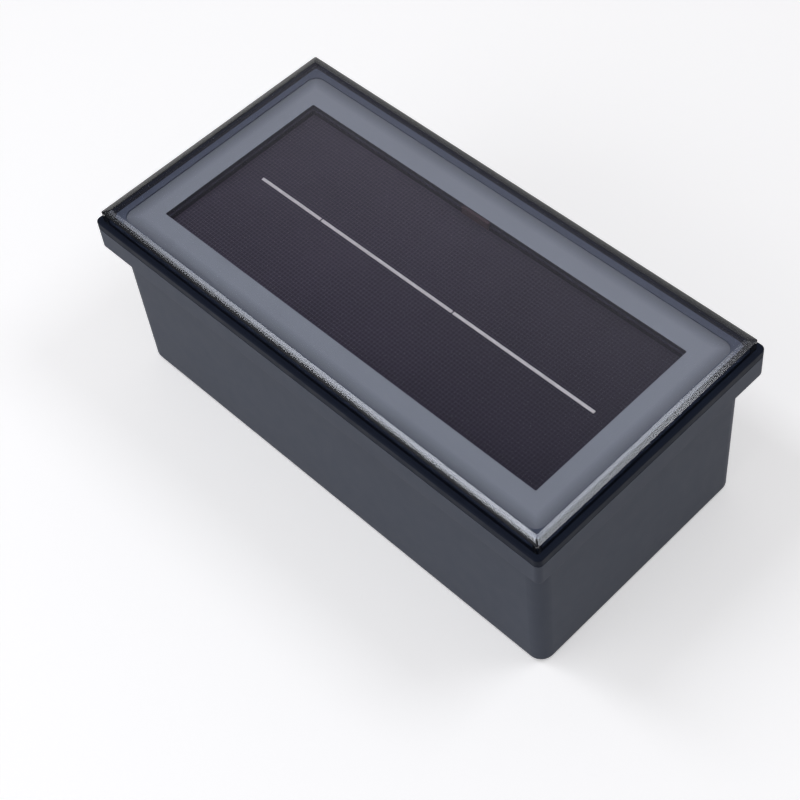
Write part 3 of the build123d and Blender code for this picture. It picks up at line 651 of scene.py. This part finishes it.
def make_button():
    """Cap with a dished face and a rounded edge, retaining flange and stem."""
    low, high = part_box("power_button")
    length = (high.z - low.z) / MM
    edge_steps = 4
    angles = [math.pi / 2 * step / edge_steps for step in range(edge_steps + 1)]
    edge = [
        (button_radius - button_edge + button_edge * math.sin(angle), button_edge * (1 - math.cos(angle)))
        for angle in angles
    ]
    flange = [
        (button_radius, button_cap),
        (button_flange_radius - button_flange_cut, button_cap),
        (button_flange_radius, button_cap + button_flange_cut),
        (button_flange_radius, button_flange_top - button_flange_cut),
        (button_flange_radius - button_flange_cut, button_flange_top),
    ]
    stem = [
        (button_stem_radius + button_stem_cut, button_flange_top),
        (button_stem_radius, button_flange_top + button_stem_cut),
        (button_stem_radius, length - button_stem_cut),
        (button_stem_radius - button_stem_cut, length),
    ]
    mesh = bmesh.new()
    base = Vector(((low.x + high.x) / 2, 0, low.z))
    add_turned(mesh, base, (0, 0, 1), button_dish + edge + flange + stem, steps=button_steps)
    finish_piece(mesh, "soft_button", ["button_plastic"], ["power_button"], body="button")


spring_wire = 0.3 * MM
spring_steps = 28
spring_closed_turns = 1.0
spring_open_turns = 3.5


def make_button_spring():
    """Coil with closed ends, between the button's flange and the switch."""
    low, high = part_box("button_spring")
    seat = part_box("power_button")[0].z + button_flange_top * MM
    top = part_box("switch_body")[0].z
    radius = (high.x - low.x) / 2 - spring_wire
    middle = (high.x + low.x) / 2
    closed_rise = 2 * spring_wire
    open_rise = (top - seat - 2 * spring_wire - 2 * spring_closed_turns * closed_rise) / spring_open_turns
    points = []
    height = seat + spring_wire
    for step in range(int((2 * spring_closed_turns + spring_open_turns) * spring_steps) + 1):
        turn = step / spring_steps
        points.append(Vector((
            middle + radius * math.cos(math.tau * turn),
            radius * math.sin(math.tau * turn),
            height,
        )))
        at_end = turn < spring_closed_turns or turn >= spring_closed_turns + spring_open_turns
        height += (closed_rise if at_end else open_rise) / spring_steps
    mesh = bmesh.new()
    add_tube(mesh, points, spring_wire)
    spring = finish_piece(mesh, "coil_spring", ["spring_steel"], ["button_spring"])
    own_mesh(spring)


# Battery, with its radii and distances in millimetres
battery_pole = 1.5
battery_crimp = [(1.1, 0), (0.7, 0.2), (0.2, 0.38)]  # distance from its middle, and depth
battery_crimp_place = 3.3


def make_battery():
    """Shrink wrap with a crimp, and plated ends."""
    low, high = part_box("battery")
    base = Vector((low.x, 0, (low.z + high.z) / 2))
    radius = (high.z - low.z) / 2 / MM
    length = (high.x - low.x) / MM
    can_end = length - battery_pole
    crimp = can_end - battery_crimp_place
    wrap = [(radius - 1.6, 0.12), (radius - 0.4, 0.1), (radius - 0.1, 0.2), (radius, 0.5)]
    wrap += [(radius - depth, crimp - reach) for reach, depth in battery_crimp]
    wrap += [(radius - depth, crimp + reach) for reach, depth in reversed(battery_crimp)]
    wrap += [(radius, can_end - 0.6), (radius - 0.1, can_end - 0.25), (radius - 0.4, can_end - 0.1)]
    wrap += [(radius - 2.3, can_end - 0.15)]
    sleeve = bmesh.new()
    add_turned(sleeve, base, (1, 0, 0), wrap)
    finish_piece(sleeve, "battery_sleeve", ["battery_wrap"], ["battery"])
    foot = [(7.3, 0.0), (7.5, 0.06), (7.5, 0.3)]
    cap = [(6.8, can_end - 0.3), (6.8, can_end - 0.05), (6.5, can_end), (3.6, can_end + 0.05)]
    pole = [(3.1, can_end + 0.3), (3.0, can_end + 0.6), (3.0, length - 0.3), (2.8, length - 0.1)]
    ends = bmesh.new()
    add_turned(ends, base, (1, 0, 0), foot)
    add_turned(ends, base, (1, 0, 0), cap + pole + [(2.4, length)])
    finish_piece(ends, "battery_ends", ["contact_plate"])


# Parts on the circuit boards. Turned profiles are in millimetres.
led_size = (3.5 * MM, 2.8 * MM, 0.55 * MM)
led_corner = 0.2 * MM
led_pitch = 20.0 * MM
led_dome = [(1.15, 0.5), (1.1, 0.6), (0.85, 0.67), (0.45, 0.7)]


def make_leds(side):
    """White packages, each with a yellow phosphor dome."""
    low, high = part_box(f"leds_{side}")
    row = high - low
    along = 0 if row.x > row.y else 1
    length, width, height = led_size
    size = Vector((length, width, height) if along == 0 else (width, length, height))
    count = 1 + round((row[along] - length) / led_pitch)
    mesh = bmesh.new()
    for i in range(count):
        corner = low.copy()
        corner[along] += led_pitch * i
        add_block(mesh, corner, corner + size, led_corner)
        base = corner + Vector((size.x / 2, size.y / 2, 0))
        add_turned(mesh, base, (0, 0, 1), led_dome, index=1, steps=24)
    slots = ["reflector_plastic", "led_body"]
    finish_piece(mesh, f"led_row_{side}", slots, [f"leds_{side}"])


def make_chip():
    """Moulded body with four bent legs on each long side."""
    leg_count, leg_pitch, half_leg, leg_corner = 4, 1.27 * MM, 0.2 * MM, 0.04 * MM
    # Stretches of a leg, in millimetres: from and to, out from the chip's middle, and the two heights
    stretches = ((1.7, 2.15, 0.7, 0.85), (2.0, 2.15, 0.0, 0.85), (2.0, 2.5, 0.0, 0.15))
    low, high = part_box("control_chip")
    middle = (low + high) / 2
    mesh = bmesh.new()
    body_low = low + Vector((0.3, 0.7, 0.15)) * MM
    body_high = high - Vector((0.3, 0.7, 0)) * MM
    add_block(mesh, body_low, body_high, 0.25 * MM)
    for side in (-1, 1):
        for i in range(leg_count):
            x = middle.x + (i - (leg_count - 1) / 2) * leg_pitch
            for near, far, foot, top in stretches:
                y_low, y_high = sorted((middle.y + side * near * MM, middle.y + side * far * MM))
                leg_low = (x - half_leg, y_low, low.z + foot * MM)
                leg_high = (x + half_leg, y_high, low.z + top * MM)
                add_block(mesh, leg_low, leg_high, leg_corner, index=1)
    finish_piece(mesh, "chip_with_legs", ["chip_plastic", "contact_plate"], ["control_chip"])


def foot_middle(node):
    """Middle of the lowest level of a node, and its height in millimetres."""
    low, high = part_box(node)
    return Vector(((low.x + high.x) / 2, (low.y + high.y) / 2, low.z)), (high.z - low.z) / MM


def make_inductor():
    """Drum core with a copper winding round its waist."""
    base, height = foot_middle("inductor")
    radius, waist, flange, cut, brim = 3.5, 2.4, 0.9, 0.15, 0.2
    turns, turn_pitch, wire_low, wire_high = 9, 0.3, 2.85, 3.1
    core = [
        (radius - brim, 0), (radius, cut), (radius, flange - cut), (radius - cut, flange),
        (waist, flange), (waist, height - flange),
        (radius - cut, height - flange), (radius, height - flange + cut), (radius, height - cut),
        (radius - brim, height), (1.4, height), (1.2, height - brim),
    ]
    winding = [(waist + 0.05, flange + 0.02)]
    for i in range(turns):
        foot = flange + 0.05 + turn_pitch * i
        winding += [(wire_low, foot), (wire_high, foot + 0.1), (wire_low, foot + 0.25)]
    winding.append((waist + 0.05, height - flange - 0.02))
    mesh = bmesh.new()
    add_turned(mesh, base, (0, 0, 1), core)
    add_turned(mesh, base, (0, 0, 1), winding, index=1)
    finish_piece(mesh, "wound_inductor", ["chip_plastic", "copper_winding"], ["inductor"])


def make_capacitor():
    """Sleeved can with a crimp near its foot and a bare top."""
    base, height = foot_middle("capacitor")
    radius, crimp = 3.0, 2.75
    sleeve = [
        (radius - 0.3, 0), (radius, 0.25), (radius, 0.9), (crimp, 1.15), (crimp, 1.35), (radius, 1.6),
        (radius, height - 0.4), (radius - 0.05, height - 0.15), (radius - 0.25, height),
        (radius - 0.5, height - 0.05), (radius - 0.6, height - 0.2),
    ]
    top = [(2.38, height - 0.3), (2.38, height - 0.14), (2.2, height - 0.1)]
    mesh = bmesh.new()
    add_turned(mesh, base, (0, 0, 1), sleeve)
    add_turned(mesh, base, (0, 0, 1), top, index=1)
    finish_piece(mesh, "can_capacitor", ["capacitor_sleeve", "contact_plate"], ["capacitor"])


def make_resistors():
    """Flat chips with plated ends."""
    count, pitch, width, plate = 4, 3.0 * MM, 1.6 * MM, 0.55 * MM
    proud, top_gap = 0.05 * MM, 0.03 * MM  # how far the plated ends stand proud, and stay under the top
    body_corner, plate_corner = 0.1 * MM, 0.08 * MM
    low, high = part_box("resistors")
    mesh = bmesh.new()
    for i in range(count):
        y = low.y + pitch * i
        body_low = (low.x + plate / 2, y + proud, low.z + proud)
        add_block(mesh, body_low, (high.x - plate / 2, y + width - proud, high.z), body_corner)
        for start in (low.x, high.x - plate):
            plate_high = (start + plate, y + width, high.z - top_gap)
            add_block(mesh, (start, y, low.z), plate_high, plate_corner, index=1)
    finish_piece(mesh, "plated_resistors", ["chip_plastic", "contact_plate"], ["resistors"])


def make_socket(node):
    """Open shroud with the plug of its lead pushed in."""
    wall, floor, soft, shroud_corner = 0.7 * MM, 1.2 * MM, 0.1 * MM, 0.2 * MM
    plug_gap, plug_lift, plug_rise, plug_corner = 0.85 * MM, 0.02 * MM, 0.9 * MM, 0.3 * MM
    rib_place, rib_half, rib_end = 1.2 * MM, 0.3 * MM, 0.3 * MM
    low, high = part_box(node)
    middle, half = (low + high) / 2, (high - low) / 2
    top = high.z - plug_rise
    shroud = [
        (soft, low.z), (0, low.z + soft), (0, top - soft), (soft, top),
        (wall - soft, top), (wall, top - soft), (wall, low.z + floor),
    ]
    mesh = bmesh.new()
    add_rings(mesh, [
        ring(half.x - inset, half.y - inset, shroud_corner, z, middle, steps=4) for inset, z in shroud
    ])
    plug_low = (low.x + plug_gap, low.y + plug_gap, low.z + floor + plug_lift)
    add_block(mesh, plug_low, (high.x - plug_gap, high.y - plug_gap, high.z), plug_corner)
    for side in (-1, 1):
        rib_x = middle.x + side * rib_place
        rib_low = (rib_x - rib_half, high.y - plug_gap - 0.05 * MM, top + soft)
        add_block(mesh, rib_low, (rib_x + rib_half, high.y - rib_end, high.z - soft), soft)
    finish_piece(mesh, node.replace("socket", "plug_and_socket"), ["socket_plastic"], [node])


make_lens()
make_border()
for screw_size in screw_sizes:
    make_screws(*screw_size)
make_button()
make_button_spring()
make_battery()
for led_side in ("front", "rear", "left", "right"):
    make_leds(led_side)
make_chip()
make_inductor()
make_capacitor()
make_resistors()
for socket_node in ("battery_socket", "switch_socket", "panel_socket", "led_socket"):
    make_socket(socket_node)


# Stage and light
floor_size = 8
floor_drop = 0.2 * MM
floor_bounce = (0.6, 0.6, 0.61)
floor_glow = 0.34
ambient = (0.32, 0.32, 0.335)
lamp_colour = (0.93, 0.97, 1.05)

# Shades of the wall by a direction's height, and of the panel by a height that falls towards the back
wall_bands = [
    (0.1, (1, 1, 1)),
    (0.3, (0.52, 0.52, 0.55)),
    (0.45, (0.4, 0.4, 0.43)),
    (0.62, (0.04, 0.04, 0.06)),
]
panel_bands = [
    (0.12, (0.38, 0.37, 0.43)),
    (0.42, (0.02, 0.02, 0.04)),
]
panel_tilt = 1.1


def seen_directly(add, link):
    """1 for rays that show the backdrop: from the camera, or by way of gloss or glass."""
    path = add("LightPath")
    total = path.outputs["Is Camera Ray"]
    for kind in ("Is Glossy Ray", "Is Transmission Ray"):
        node = add("Math")
        node.operation = "MAXIMUM"
        link(total, node.inputs[0])
        link(path.outputs[kind], node.inputs[1])
        total = node.outputs["Value"]
    return total


def make_floor():
    """Pale paper, a little brighter where it is seen than the light that it throws back."""
    bpy.ops.mesh.primitive_plane_add(size=floor_size, location=(0, 0, -floor_drop))
    floor = bpy.context.object
    floor.name = "floor"
    made = Material("floor_paper", Roughness=0.9, Specular_IOR_Level=0, Emission_Color=(1, 1, 1, 1))
    paper = made.mix(made.noise(0.4, detail=1), linear(250, 247, 243), linear(253, 250, 246))
    seen = seen_directly(made.add, made.link)
    made.colour(made.mix(seen, floor_bounce, paper))
    made.link(made.math("MULTIPLY", seen, floor_glow), made.surface.inputs["Emission Strength"])
    floor.data.materials.append(made.data)


def make_world():
    """Even soft light, seen as a white wall under a dark ceiling, with a pale panel high at the back."""
    world = bpy.data.worlds.new("studio")
    bpy.context.scene.world = world
    world.use_nodes = True
    tree = world.node_tree
    tree.nodes.clear()
    link = tree.links.new

    def add(kind):
        return tree.nodes.new("ShaderNode" + kind)

    output = add("OutputWorld")
    soft = add("Background")
    soft.inputs["Color"].default_value = (*ambient, 1)
    parts = add("SeparateXYZ")
    link(add("TexCoord").outputs["Generated"], parts.inputs["Vector"])
    leaning = add("Math")
    leaning.operation = "MULTIPLY_ADD"
    leaning.inputs[1].default_value = -panel_tilt
    link(parts.outputs["Y"], leaning.inputs[0])
    link(parts.outputs["Z"], leaning.inputs[2])
    lighter = add("Mix")
    lighter.data_type = "RGBA"
    lighter.blend_type = "LIGHTEN"
    lighter.inputs["Factor"].default_value = 1
    for socket, value, bands in (
        (mix_first, parts.outputs["Z"], wall_bands),
        (mix_second, leaning.outputs["Value"], panel_bands),
    ):
        shades = add("ValToRGB")
        ramp = shades.color_ramp
        while len(ramp.elements) < len(bands):
            ramp.elements.new(0.5)
        for element, (place, colour) in zip(ramp.elements, bands):
            element.position = place
            element.color = (*colour, 1)
        link(value, shades.inputs["Fac"])
        link(shades.outputs["Color"], lighter.inputs[socket])
    wall = add("Background")
    link(lighter.outputs[mix_result], wall.inputs["Color"])
    mixer = add("MixShader")
    link(seen_directly(add, link), mixer.inputs["Fac"])
    link(soft.outputs["Background"], mixer.inputs[1])
    link(wall.outputs["Background"], mixer.inputs[2])
    link(mixer.outputs["Shader"], output.inputs["Surface"])


def fade_lamp(tree, start, soft):
    """Makes a lamp's light grow along its length from a share of it, and across its width from none."""
    place = tree.nodes.new("ShaderNodeNewGeometry")
    parts = tree.nodes.new("ShaderNodeSeparateXYZ")
    tree.links.new(place.outputs["Parametric"], parts.inputs["Vector"])
    product = tree.nodes.new("ShaderNodeMath")
    product.operation = "MULTIPLY"
    for slot, (axis, lowest, reach) in enumerate((("X", start, 1.0), ("Y", 0.0, soft))):
        fade = tree.nodes.new("ShaderNodeMapRange")
        fade.inputs["From Max"].default_value = reach
        fade.inputs["To Min"].default_value = lowest
        tree.links.new(parts.outputs[axis], fade.inputs["Value"])
        tree.links.new(fade.outputs["Result"], product.inputs[slot])
    tree.links.new(product.outputs["Value"], tree.nodes["Emission"].inputs["Strength"])


def softbox(name, direction, distance, size, radiance, along, shift=(0, 0), start=1.0, soft=0.001):
    """Rectangular lamp that faces the object, with its length along a given direction.

    It is shifted along its length and width. Its light begins at a share of the full light at the
    start of its length, and grows from nothing over the given share of its width.
    """
    data = bpy.data.lights.new(name, "AREA")
    data.shape = "RECTANGLE"
    data.size, data.size_y = size
    data.energy = radiance * math.pi * size[0] * size[1]
    data.color = lamp_colour
    data.use_nodes = True
    fade_lamp(data.node_tree, start, soft)
    lamp = bpy.data.objects.new(name, data)
    back = Vector(direction).normalized()
    side = (Vector(along) - back * Vector(along).dot(back)).normalized()
    cross = back.cross(side)
    axes = Matrix((side, cross, back)).transposed()
    middle = aim_point + back * distance + side * shift[0] + cross * shift[1]
    lamp.matrix_world = Matrix.Translation(middle) @ axes.to_4x4()
    bpy.context.scene.collection.objects.link(lamp)


make_floor()
make_world()
softbox(
    "strip_left", direction=(-0.494, -0.289, 0.82), distance=0.9, size=(0.5, 0.19), radiance=9.0,
    along=(0.861, -0.141, 0.488), shift=(0.06, 0.05), start=0.28,
)
softbox(
    "strip_right", direction=(0.361, 0.442, 0.821), distance=0.9, size=(0.28, 0.36), radiance=4.8,
    along=(-0.138, 0.887, -0.44), shift=(-0.07, -0.02), soft=0.15,
)
softbox(
    "front", direction=(-0.25, -0.9, 0.4), distance=1.2, size=(1.2, 1.0), radiance=1.05,
    along=(0.9, -0.25, 0),
)

bpy.context.scene.view_settings.view_transform = "Standard"

bpy.context.view_layer.update()
